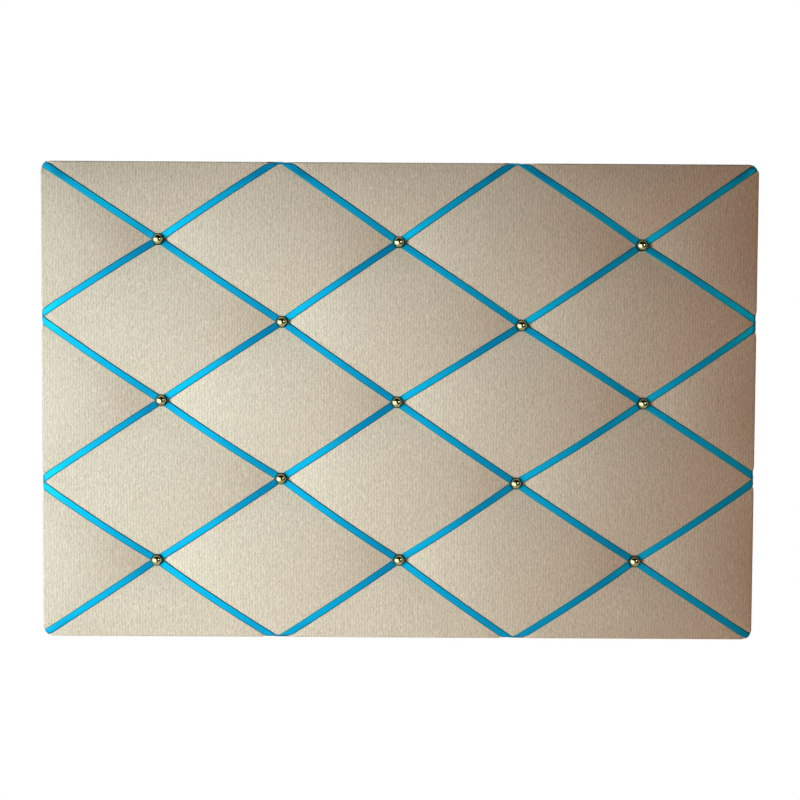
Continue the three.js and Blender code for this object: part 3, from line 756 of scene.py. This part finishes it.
bm = bmesh.new()
whole = COLUMNS + ROWS
bmesh.ops.create_grid(bm, x_segments=whole * STEPS, y_segments=whole * STEPS, size=whole / 2)
lattice = bm.verts.layers.float_vector.new("lattice")
for vert in bm.verts:
    p, q = vert.co.x + whole / 2, vert.co.y
    vert[lattice] = (p, q, 0)
    x, z = lattice_point(p, q)
    vert.co = (x, 0, z)
corner_centre = Vector((half_x - CORNER_RADIUS, half_z - CORNER_RADIUS))
for cut in range(4 * CORNER_CUTS):
    turn = math.pi / 2 * cut / CORNER_CUTS
    facing = Vector((math.cos(turn), 0, math.sin(turn)))
    sides = [round(value, 6) for value in (facing.x, facing.z)]
    centre = Vector([math.copysign(length, side) for length, side in zip(corner_centre, sides)])
    bmesh.ops.bisect_plane(
        bm,
        geom=bm.verts[:] + bm.edges[:] + bm.faces[:],
        plane_co=Vector((centre.x, 0, centre.y)) + facing * CORNER_RADIUS,
        plane_no=facing,
        clear_outer=True,
        dist=SNAP,
        use_snap_center=True,
    )
bmesh.ops.dissolve_degenerate(bm, dist=SNAP / 4, edges=bm.edges)
for vert in bm.verts:
    p, q, _ = vert[lattice]
    x, z = vert.co.x, vert.co.z
    inset = min(half_x - abs(x), half_z - abs(z))
    vert.co.y = -core_front - padding_height(p, q, x, z) + pressed(Vector((x, z)), -inset)
bmesh.ops.recalc_face_normals(bm, faces=bm.faces)
if sum(face.normal.y for face in bm.faces) > 0:
    bmesh.ops.reverse_faces(bm, faces=bm.faces)
print("field", len(bm.verts), "points")


# %% Cover: the way over the edge
def over_edge(run, lift=0.0):
    """How far out of the field, and how deep, cloth lies after a run over the edge."""
    if run < roll_length:
        turn = run / EDGE_RADIUS
        radius = EDGE_RADIUS + lift
        return radius * math.sin(turn), rim_depth - EDGE_RADIUS + radius * math.cos(turn)
    run -= roll_length
    if run < side_length:
        return EDGE_RADIUS + lift, rim_depth - EDGE_RADIUS - run
    run -= side_length
    if run < turn_length:
        turn = run / BACK_RADIUS
        radius = BACK_RADIUS + lift
        return (
            EDGE_RADIUS - BACK_RADIUS + radius * math.cos(turn),
            flap_depth + BACK_RADIUS - radius * math.sin(turn),
        )
    return EDGE_RADIUS - BACK_RADIUS - (run - turn_length), flap_depth - lift


def outward(place):
    """The way out of the field at a point of its rim."""
    past_x, past_z = abs(place.x) - corner_centre.x, abs(place.z) - corner_centre.y
    if past_x > 0 and past_z > 0:
        away = Vector((past_x, past_z)).normalized()
    elif half_x - abs(place.x) < half_z - abs(place.z):
        away = Vector((1, 0))
    else:
        away = Vector((0, 1))
    return Vector((math.copysign(away.x, place.x), math.copysign(away.y, place.z)))


print("flap starts after", round(flap_start / MM, 1), "mm over the edge")

# %% Cover: rolled edge, sides and flap
HELD_STRIP = 1.2 / STEPS
SQUARE_ON = 0.9
ROLL_STEPS, SIDE_STEPS, TURN_STEPS, FLAP_STEPS = 6, 4, 3, 3
hem_x = board_width / 2 - FLAP_WIDTH
hem_z = board_height / 2 - FLAP_WIDTH

rim_place = bm.verts.layers.float_vector.new("rim_place")
held = bm.verts.layers.float.new("held")
for vert in bm.verts:
    p, q, _ = vert[lattice]
    on_ribbon = min(abs(p - round(p)), abs(q - round(q))) < HELD_STRIP
    vert[held] = float(on_ribbon or vert.is_boundary)
    vert[rim_place] = vert.co
rim_edges = [edge for edge in bm.edges if edge.is_boundary]
side_start = roll_length
turn_start = roll_length + side_length
runs = [roll_length * (i + 1) / ROLL_STEPS for i in range(ROLL_STEPS)]
runs += [side_start + side_length * (i + 1) / SIDE_STEPS for i in range(SIDE_STEPS)]
runs += [turn_start + turn_length * (i + 1) / TURN_STEPS for i in range(TURN_STEPS)]
runs += [flap_start + flap_length * (i + 1) / FLAP_STEPS for i in range(FLAP_STEPS)]
for run in runs:
    made = bmesh.ops.extrude_edge_only(bm, edges=rim_edges)["geom"]
    rim_edges = [item for item in made if isinstance(item, bmesh.types.BMEdge)]
    for vert in (item for item in made if isinstance(item, bmesh.types.BMVert)):
        base = vert[rim_place]
        flat = Vector((base.x, base.z)) + outward(base) * run
        out, depth = over_edge(min(run, flap_start), -pressed(flat, run))
        spot = Vector((base.x, base.z)) + outward(base) * out
        hem = Vector((base.x * hem_x / half_x, base.z * hem_z / half_z))
        spot = spot.lerp(hem, max(run - flap_start, 0) / flap_length)
        vert.co = (spot.x, -depth, spot.y)
        vert[held] = 1.0
    rim_edges = [edge for edge in rim_edges if edge.is_boundary]
bmesh.ops.recalc_face_normals(bm, faces=bm.faces)
front_turn = sum(
    face.normal.y
    for face in bm.faces
    if abs(face.normal.y) > SQUARE_ON and -face.calc_center_median().y > core_front
)
if front_turn > 0:
    bmesh.ops.reverse_faces(bm, faces=bm.faces)
print("cover", len(bm.faces), "faces")


# %% Cover: fill the diamonds
def new_piece(name, bm, material, body="board"):
    mesh = bpy.data.meshes.new(name)
    bm.to_mesh(mesh)
    bm.free()
    mesh.shade_smooth()
    mesh.materials.append(material)
    piece = bpy.data.objects.new(name, mesh)
    bpy.context.scene.collection.objects.link(piece)
    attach(piece, body)
    return piece


FILL_FRAMES = 20
MOST_SWELL = 4 * MM

held_share = [vert[held] for vert in bm.verts]
cover = new_piece("cotton_cover", bm, cotton)
pins = cover.vertex_groups.new(name="held")
for index, share in enumerate(held_share):
    if share > 0:
        pins.add([index], share, "REPLACE")
fill = cover.modifiers.new("fill", "CLOTH")
fill.settings.quality = 6
fill.settings.mass = 0.15
fill.settings.tension_stiffness = 15
fill.settings.compression_stiffness = 15
fill.settings.shear_stiffness = 8
fill.settings.bending_stiffness = 0.5
fill.settings.use_pressure = True
fill.settings.uniform_pressure_force = 20
fill.settings.vertex_group_mass = "held"
fill.settings.pin_stiffness = 1
fill.settings.effector_weights.gravity = 0
fill.collision_settings.use_collision = False
for number in range(1, FILL_FRAMES + 1):
    bpy.context.scene.frame_set(number)
filled = cover.evaluated_get(bpy.context.evaluated_depsgraph_get()).data
swells = []
for vert, moved in zip(cover.data.vertices, [point.co.copy() for point in filled.vertices]):
    step = moved - vert.co
    step.length = min(step.length, MOST_SWELL)
    vert.co += step
    swells.append(step.length)
cover.modifiers.remove(fill)
bpy.context.scene.frame_set(1)
print("swell", round(max(swells) / MM, 2), "mm at most")
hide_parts("fabric_cover")

# %% Cover: thickness
FABRIC = 0.7 * MM

cover_bm = bmesh.new()
cover_bm.from_mesh(cover.data)
cover_tree = BVHTree.FromBMesh(cover_bm)
cover_area = sum(face.calc_area() for face in cover_bm.faces)
cover_bm.free()
thickness = cover.modifiers.new("thickness", "SOLIDIFY")
thickness.thickness = FABRIC
thickness.offset = -1

# %% [markdown]
# ## The wadding
# Under the cover lies a sheet of polyester wadding, pressed by the ribbons into the same shape. So
# it is cut from the filled cover: the cloth's thickness is taken off along the normals, a plane at
# the core's face cuts the rest away, and the cut is filled.

# %% Wadding
SEAT_GAP = 0.2 * MM

bm = bmesh.new()
bm.from_mesh(cover.data)
bm.normal_update()
for vert in bm.verts:
    vert.co -= vert.normal * (FABRIC + SEAT_GAP)
bmesh.ops.bisect_plane(
    bm,
    geom=bm.verts[:] + bm.edges[:] + bm.faces[:],
    plane_co=(0, -core_front - SEAT_GAP, 0),
    plane_no=(0, 1, 0),
    clear_outer=True,
)
open_edges = [edge for edge in bm.edges if edge.is_boundary]
bmesh.ops.triangle_fill(bm, use_beauty=True, edges=open_edges)
bmesh.ops.recalc_face_normals(bm, faces=bm.faces)
still_open = sum(not edge.is_manifold for edge in bm.edges)
print("wadding", len(bm.faces), "faces, open edges", still_open)
pad = new_piece("wadding_pad", bm, wadding_fibre)
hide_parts("wadding")

# %% [markdown]
# ## The ribbons
# Each ribbon is a straight strip on the flat cloth, with a small bend at each stud. A curve with a
# flat profile would twist on the swollen cover. So a ribbon is a long grid whose points are laid
# onto the filled cover, over the rolled edge and onto the back, where the tails run under the
# backing panel. Falling ribbons lie over rising ones, so they lift a little at each crossing. A
# ribbon that ends at a corner wraps round it.

# %% Ribbon helpers
RIBBON_THICKNESS = 0.25 * MM
RIBBON_GAP = 0.1 * MM
RAISE = RIBBON_THICKNESS + RIBBON_GAP
RAISE_RAMP = 5 * MM
WRAP_LIMIT = 0.97


def front_depth(x, z):
    hit = cover_tree.ray_cast(Vector((x, -1, z)), Vector((0, 1, 0)))[0]
    return -hit.y if hit else rim_depth


def lay(point, lift):
    """A point of flat cloth, laid over one of the four edges."""
    over_x, over_z = abs(point.x) - half_x, abs(point.y) - half_z
    if over_x <= 0 and over_z <= 0:
        return Vector((point.x, -front_depth(point.x, point.y) - lift, point.y))
    run = max(over_x, over_z)
    out, depth = over_edge(run, lift - pressed(point, run))
    x, z = point
    if over_x > over_z:
        x = math.copysign(half_x + out, x)
    else:
        z = math.copysign(half_z + out, z)
    return Vector((x, -depth, z))


def lay_corner(point, lift, centre, onward):
    """A point of a ribbon that wraps a rounded corner."""
    sideways = Vector((-onward.y, onward.x))
    most = CORNER_RADIUS * WRAP_LIMIT
    offset = min(max((point - centre).dot(sideways), -most), most)
    run = (point - centre).dot(onward) - math.sqrt(CORNER_RADIUS**2 - offset**2)
    if run <= 0:
        return Vector((point.x, -front_depth(point.x, point.y) - lift, point.y))
    on_cover = min(run, flap_start)
    out, depth = over_edge(on_cover, lift - pressed(point, run))
    first, last = math.asin(offset / CORNER_RADIUS), offset / (CORNER_RADIUS + EDGE_RADIUS)
    turn = first + (last - first) * smooth(on_cover, 0, roll_length)
    away = onward * math.cos(turn) + sideways * math.sin(turn)
    place = centre + away * (CORNER_RADIUS + out) - onward * (run - on_cover)
    return Vector((place.x, -depth, place.y))


def side_raise(point):
    """How far a falling ribbon is lifted where it crosses another on the board's side."""
    over_x, over_z = abs(point.x) - half_x, abs(point.y) - half_z
    run = max(over_x, over_z)
    last = 2 * (span_x if over_x > over_z else span_z)
    ramp_up = smooth(run, -RAISE_RAMP / 2, 0)
    return RAISE * min(ramp_up, 1 - smooth(run, last, last + RAISE_RAMP))


print("raise", RAISE / MM, "mm")

# %% Paths of the ribbons
TAIL_PAST_HEM = 14 * MM


def ribbon_path(line):
    """The flat points a ribbon runs through, tail to tail, and the corners that it wraps."""
    points = [crossing(p, q) for p, q in line]
    corners = []
    for end, inner in ((0, 1), (-1, -2)):
        onward = (points[end] - points[inner]).normalized()
        p, q = line[end]
        u, v = (p - q) / 2, (p + q) / 2
        if is_corner(u, v):
            signs = zip(corner_centre, points[end])
            centre = Vector([math.copysign(length, part) for length, part in signs])
            steep = min(abs(onward.x), abs(onward.y))
            past = CORNER_RADIUS + flap_start + (FLAP_WIDTH + TAIL_PAST_HEM) / steep
            points[end] = points[inner] + onward * ((centre - points[inner]).dot(onward) + past)
            corners.append((centre, onward))
        else:
            on_x = u in (0, COLUMNS)
            over = abs(points[end].x) - half_x if on_x else abs(points[end].y) - half_z
            more = flap_start + flap_length + TAIL_PAST_HEM - over
            points[end] = points[end] + onward * (more / abs(onward.x if on_x else onward.y))
    return points, corners


paths = {name: ribbon_path(line) for name, line in ribbon_lines.items()}
print("corners wrapped", sum(len(corners) for _, corners in paths.values()))

# %% Lay the ribbons
ACROSS = 6
ALONG = 3 * MM
RAISE_FLAT, RAISE_REACH = 5.4 * MM, 9 * MM


def ribbon(name, points, corners):
    falling = "falling" in name
    lengths = [(b - a).length for a, b in zip(points, points[1:])]
    total = sum(lengths)
    stations = math.ceil(total / ALONG)
    bm = bmesh.new()
    layer = bm.loops.layers.uv.new("ribbon")
    bmesh.ops.create_grid(bm, x_segments=stations, y_segments=ACROSS, size=0.5, calc_uvs=True)
    for vert in bm.verts:
        travel = (vert.co.x + 0.5) * total
        offset = vert.co.y * RIBBON_WIDTH
        leg = 0
        while leg < len(lengths) - 1 and travel > lengths[leg]:
            travel -= lengths[leg]
            leg += 1
        way = (points[leg + 1] - points[leg]).normalized()
        flat = points[leg] + way * travel + Vector((-way.y, way.x)) * offset
        lift = RIBBON_GAP
        if falling:
            nearest = min((flat - stud).length for stud in stud_at.values())
            lift += RAISE * (1 - smooth(nearest, RAISE_FLAT, RAISE_REACH)) + side_raise(flat)
        for centre, onward in corners:
            if (flat - centre).dot(onward) > 0:
                vert.co = lay_corner(flat, lift, centre, onward)
                break
        else:
            vert.co = lay(flat, lift)
    for face in bm.faces:
        for loop in face.loops:
            loop[layer].uv.x *= total / RIBBON_WIDTH
    strip = new_piece("satin_" + name, bm, satin)
    thick = strip.modifiers.new("thickness", "SOLIDIFY")
    thick.thickness = RIBBON_THICKNESS
    thick.offset = 1
    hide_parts(name)
    return total


lengths = [ribbon(name, points, corners) for name, (points, corners) in paths.items()]
print("ribbon in all", round(sum(lengths), 2), "m")

# %% [markdown]
# ## The studs
# A stud is a nail with a hollow pressed head. Like most round things it is spun from a profile: a
# pointed shank, the hollow underside and the dome, which meet at the rim. The head is driven in
# until its rim rests on the ribbons, so the rim's depth is measured on the filled cover, all round
# the head. Each point keeps its distance from the axis, for the painted shade on the rim.

# %% Studs
HEAD_WALL = 0.7 * MM
SHANK = 0.9 * MM
POINT = 3 * MM
SPIN_STEPS = 40
UNDER_STEPS, DOME_STEPS = 6, 12
WELD = 0.001 * MM


def spun(profile, x, z):
    """A solid spun from points that give a distance from the axis and a place along it."""
    bm = bmesh.new()
    verts = [bm.verts.new((x + away, y, z)) for away, y in profile]
    edges = [bm.edges.new(pair) for pair in zip(verts, verts[1:])]
    bmesh.ops.spin(
        bm,
        geom=verts + edges,
        cent=(x, 0, z),
        axis=(0, 1, 0),
        dvec=(0, 0, 0),
        angle=2 * math.pi,
        steps=SPIN_STEPS,
        use_merge=True,
    )
    bmesh.ops.remove_doubles(bm, verts=bm.verts, dist=WELD)
    bmesh.ops.recalc_face_normals(bm, faces=bm.faces)
    return bm


def rest_depth(x, z, radius):
    """Depth at which a head's rim comes to rest on the ribbons."""
    turns = [2 * math.pi * i / SPIN_STEPS for i in range(SPIN_STEPS)]
    rim = [(x + radius * math.cos(turn), z + radius * math.sin(turn)) for turn in turns]
    return max(front_depth(*point) for point in rim) + 2 * (RIBBON_GAP + RIBBON_THICKNESS)


def stud(name, x, z):
    low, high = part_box(name)
    radius = (high.x - low.x) / 2
    top, tip = -low.y, -high.y
    rim = rest_depth(x, z, radius)
    dome = top - rim
    profile = [(0, tip), (SHANK, tip + POINT), (SHANK, top - HEAD_WALL)]
    for i in range(1, UNDER_STEPS + 1):
        turn = math.pi / 2 * i / UNDER_STEPS
        inner = (radius - HEAD_WALL) * math.sin(turn)
        profile.append((inner, rim + (dome - HEAD_WALL) * math.cos(turn)))
    for i in range(DOME_STEPS + 1):
        turn = math.pi / 2 * (1 - i / DOME_STEPS)
        profile.append((radius * math.sin(turn), rim + dome * math.cos(turn)))
    bm = spun([(away, -depth) for away, depth in profile], x, z)
    from_axis = bm.verts.layers.float.new("from_axis")
    for vert in bm.verts:
        vert[from_axis] = math.hypot(vert.co.x - x, vert.co.z - z) / radius
    head = new_piece("brass_" + name, bm, brass)
    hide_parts(name)
    return dome


domes = [stud(name, x, z) / MM for name, (_, _, x, z) in studs.items()]
print("studs", len(studs), "domes", round(min(domes), 2), "to", round(max(domes), 2), "mm high")

# %% [markdown]
# ## The hangers
# Each hanger is a steel strap that curls round the bar of a D ring, held by one screw. The ring is
# bent from round wire: a circle is drawn straight and spun round each bend until the loop closes.
# The strap starts as a half disc. Its straight edge is drawn up and spun round the bar, as a press
# would curl it. The screw is spun like the studs, and its slot is cut by planes and pushed in.


# %% D rings
def draw_out(bm, edges, step):
    """Extrude open edges by a step, and return the new ones."""
    made = bmesh.ops.extrude_edge_only(bm, edges=edges)["geom"]
    verts = [item for item in made if isinstance(item, bmesh.types.BMVert)]
    bmesh.ops.translate(bm, verts=verts, vec=step)
    return [item for item in made if isinstance(item, bmesh.types.BMEdge) and item.is_boundary]


def spin_on(bm, edges, centre, axis, angle, steps):
    """Spin open edges part of the way round an axis, and return the last ones."""
    verts = list({vert for edge in edges for vert in edge.verts})
    made = bmesh.ops.spin(
        bm,
        geom=verts + edges,
        cent=centre,
        axis=axis,
        dvec=(0, 0, 0),
        angle=angle,
        steps=steps,
    )["geom_last"]
    return [item for item in made if isinstance(item, bmesh.types.BMEdge)]


WIRE, WIRE_SIDES = 2.2 * MM, 16
RING_WIDTH, RING_REACH = 20 * MM, 13 * MM
RING_BEND = 3 * MM
RING_CLEARANCE = 0.3 * MM
BEND_STEPS, BOW_STEPS = 8, 28
NEAR = 0.01 * MM


def ring(side, body, pivot):
    half = (RING_WIDTH - WIRE) / 2
    shoulder = RING_REACH - half
    bar, leg = half - RING_BEND, shoulder - RING_BEND
    bm = bmesh.new()
    turned = Matrix.Translation(pivot) @ Matrix.Rotation(math.pi / 2, 4, "Y")
    bmesh.ops.create_circle(bm, segments=WIRE_SIDES, radius=WIRE / 2, matrix=turned)
    axis, bend = (0, -1, 0), Vector((0, 0, RING_BEND))
    right, left, middle = Vector((bar, 0, 0)), Vector((-bar, 0, 0)), Vector((0, 0, shoulder))
    edges = draw_out(bm, bm.edges[:], right)
    edges = spin_on(bm, edges, pivot + right + bend, axis, math.pi / 2, BEND_STEPS)
    edges = draw_out(bm, edges, (0, 0, leg))
    edges = spin_on(bm, edges, pivot + middle, axis, math.pi, BOW_STEPS)
    edges = draw_out(bm, edges, (0, 0, -leg))
    edges = spin_on(bm, edges, pivot + left + bend, axis, math.pi / 2, BEND_STEPS)
    draw_out(bm, edges, right)
    bmesh.ops.remove_doubles(bm, verts=bm.verts, dist=NEAR)
    bmesh.ops.recalc_face_normals(bm, faces=bm.faces)
    lean = math.asin((pivot.y - WIRE / 2 - RING_CLEARANCE) / RING_REACH)
    bmesh.ops.rotate(bm, verts=bm.verts, cent=pivot, matrix=Matrix.Rotation(lean, 3, "X"))
    print(side, "ring, open edges", sum(not edge.is_manifold for edge in bm.edges))
    wire = new_piece("wire_ring_" + side, bm, zinc, body=body)
    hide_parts("hanger_ring_" + side)


pivots = {}
for joint in frame["joints"]:
    side = joint["child"].removeprefix("ring_")
    pivots[side] = Vector(joint["pos_m"])
    ring(side, joint["child"], pivots[side])

# %% Straps
STRAP_WIDTH, STRAP_STEEL = 10 * MM, 1 * MM
STRAP_REACH = 20 * MM
STRAP_ROUNDING = 0.15 * MM
CURL, CURL_STEPS = math.radians(250), 28
FOOT_SIDES = 40


def level_edges(edges, height):
    return [edge for edge in edges if all(abs(v.co.z - height) < NEAR for v in edge.verts)]


def strap(side, pivot):
    bm = bmesh.new()
    foot = Vector((pivot.x, SEAT_GAP, pivot.z - STRAP_REACH))
    flat = Matrix.Translation(foot) @ Matrix.Rotation(math.pi / 2, 4, "X")
    bmesh.ops.create_circle(
        bm, cap_ends=True, segments=FOOT_SIDES, radius=STRAP_WIDTH / 2, matrix=flat
    )
    bmesh.ops.bisect_plane(
        bm,
        geom=bm.verts[:] + bm.edges[:] + bm.faces[:],
        plane_co=foot,
        plane_no=(0, 0, 1),
        clear_outer=True,
        dist=NEAR,
    )
    edges = draw_out(bm, level_edges(bm.edges, foot.z), (0, 0, STRAP_REACH))
    spin_on(bm, level_edges(edges, pivot.z), pivot, (-1, 0, 0), CURL, CURL_STEPS)
    bmesh.ops.recalc_face_normals(bm, faces=bm.faces)
    if any(face.normal.y > 0 for face in bm.faces if face.calc_center_median().z < foot.z):
        bmesh.ops.reverse_faces(bm, faces=bm.faces)
    strip = new_piece("curled_strap_" + side, bm, zinc)
    steel = strip.modifiers.new("steel", "SOLIDIFY")
    steel.thickness = STRAP_STEEL
    steel.offset = -1
    rounding = strip.modifiers.new("rounding", "BEVEL")
    rounding.width = STRAP_ROUNDING
    rounding.segments = 2
    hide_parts("hanger_strap_" + side)


for side, pivot in pivots.items():
    strap(side, pivot)
print("straps", len(pivots))

# %% Screws
SCREW, SCREW_POINT = 1.5 * MM, 3 * MM
HEAD, HEAD_EDGE, HEAD_STEPS = 3.5 * MM, 0.5 * MM, 8
SLOT, SLOT_DEPTH = 1 * MM, 1 * MM
SHARP = math.radians(40)


def cut_slot(bm, x, z, top):
    """Cut the head's faces along the slot's walls and push the ones between them in."""
    bottom = top - SLOT_DEPTH
    cuts = [
        ((x - SLOT / 2, 0, z), (1, 0, 0)),
        ((x + SLOT / 2, 0, z), (1, 0, 0)),
        ((x, bottom, z), (0, 1, 0)),
    ]
    for place, facing in cuts:
        geom = bm.verts[:] + bm.edges[:] + bm.faces[:]
        bmesh.ops.bisect_plane(bm, geom=geom, plane_co=place, plane_no=facing, dist=NEAR)
    middles = [(face, face.calc_center_median()) for face in bm.faces]
    inside = [face for face, mid in middles if abs(mid.x - x) < SLOT / 2 and mid.y > bottom]
    made = bmesh.ops.extrude_face_region(bm, geom=inside)["geom"]
    for vert in (item for item in made if isinstance(item, bmesh.types.BMVert)):
        vert.co.y = bottom
    bmesh.ops.delete(bm, geom=[face for face in inside if face.is_valid], context="FACES")
    bmesh.ops.remove_doubles(bm, verts=bm.verts, dist=WELD)
    bmesh.ops.dissolve_degenerate(bm, dist=WELD, edges=bm.edges)
    bmesh.ops.recalc_face_normals(bm, faces=bm.faces)


def screw(side):
    name = "hanger_screw_" + side
    low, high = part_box(name)
    x, z = (low.x + high.x) / 2, (low.z + high.z) / 2
    seat = SEAT_GAP + STRAP_STEEL + SEAT_GAP
    rise = high.y - seat - HEAD_EDGE
    profile = [(0, low.y), (SCREW, low.y + SCREW_POINT), (SCREW, seat), (HEAD, seat)]
    for i in range(HEAD_STEPS + 1):
        turn = math.pi / 2 * i / HEAD_STEPS
        profile.append((HEAD * math.cos(turn), seat + HEAD_EDGE + rise * math.sin(turn)))
    bm = spun(profile, x, z)
    cut_slot(bm, x, z, high.y)
    print(side, "screw, open edges", sum(not edge.is_manifold for edge in bm.edges))
    fastener = new_piece("slotted_screw_" + side, bm, zinc)
    fastener.data.set_sharp_from_angle(angle=SHARP)
    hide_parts(name)


for side in pivots:
    screw(side)

# %% [markdown]
# ## Pieces that keep their solids
# The core, the backing panel and the staples are plain sawn or bent shapes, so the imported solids
# are right as they are. They only get their finishes.

# %% Finishes of the core, the backing and the staples
finishes = {"core_board": fibreboard, "backing_panel": hardboard, "staple_": zinc}
finished = 0
for name, node in nodes.items():
    for start, material in finishes.items():
        if name.startswith(start):
            node.data.materials.clear()
            node.data.materials.append(material)
            finished += 1
print("finished", finished, "solids")
